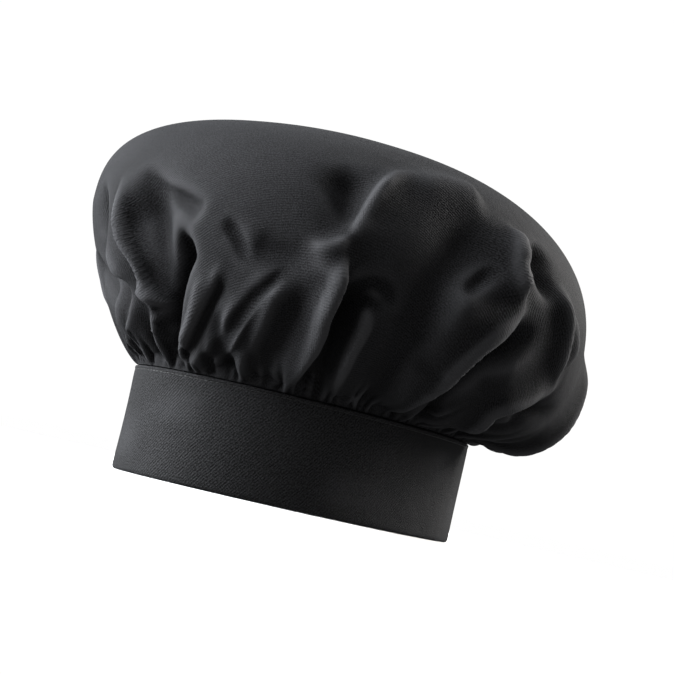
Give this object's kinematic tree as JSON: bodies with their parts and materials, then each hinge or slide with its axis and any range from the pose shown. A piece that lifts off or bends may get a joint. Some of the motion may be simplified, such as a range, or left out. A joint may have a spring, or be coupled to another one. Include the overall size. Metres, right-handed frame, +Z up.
{
  "type": "gathered chef's hat",
  "caption": "Soft puffed chef's hat: a full round crown of dark cotton cloth gathered into a plain straight band.",
  "frame": {"origin": "middle of the hat's outline on the surface that it stands on, level with the band's lower fold", "axes": "+Z up through the crown, -Y where the wearer faces, X across the head"},
  "size_m": [0.276, 0.2728, 0.197],
  "materials": {
    "crown_cloth": "black cotton twill, matte with a faint sheen on the folds",
    "band_cloth": "black cotton twill, folded double and pressed smooth"
  },
  "bodies": {
    "root": {"crown": "crown_cloth", "band": "band_cloth"}
  },
  "joints": []
}
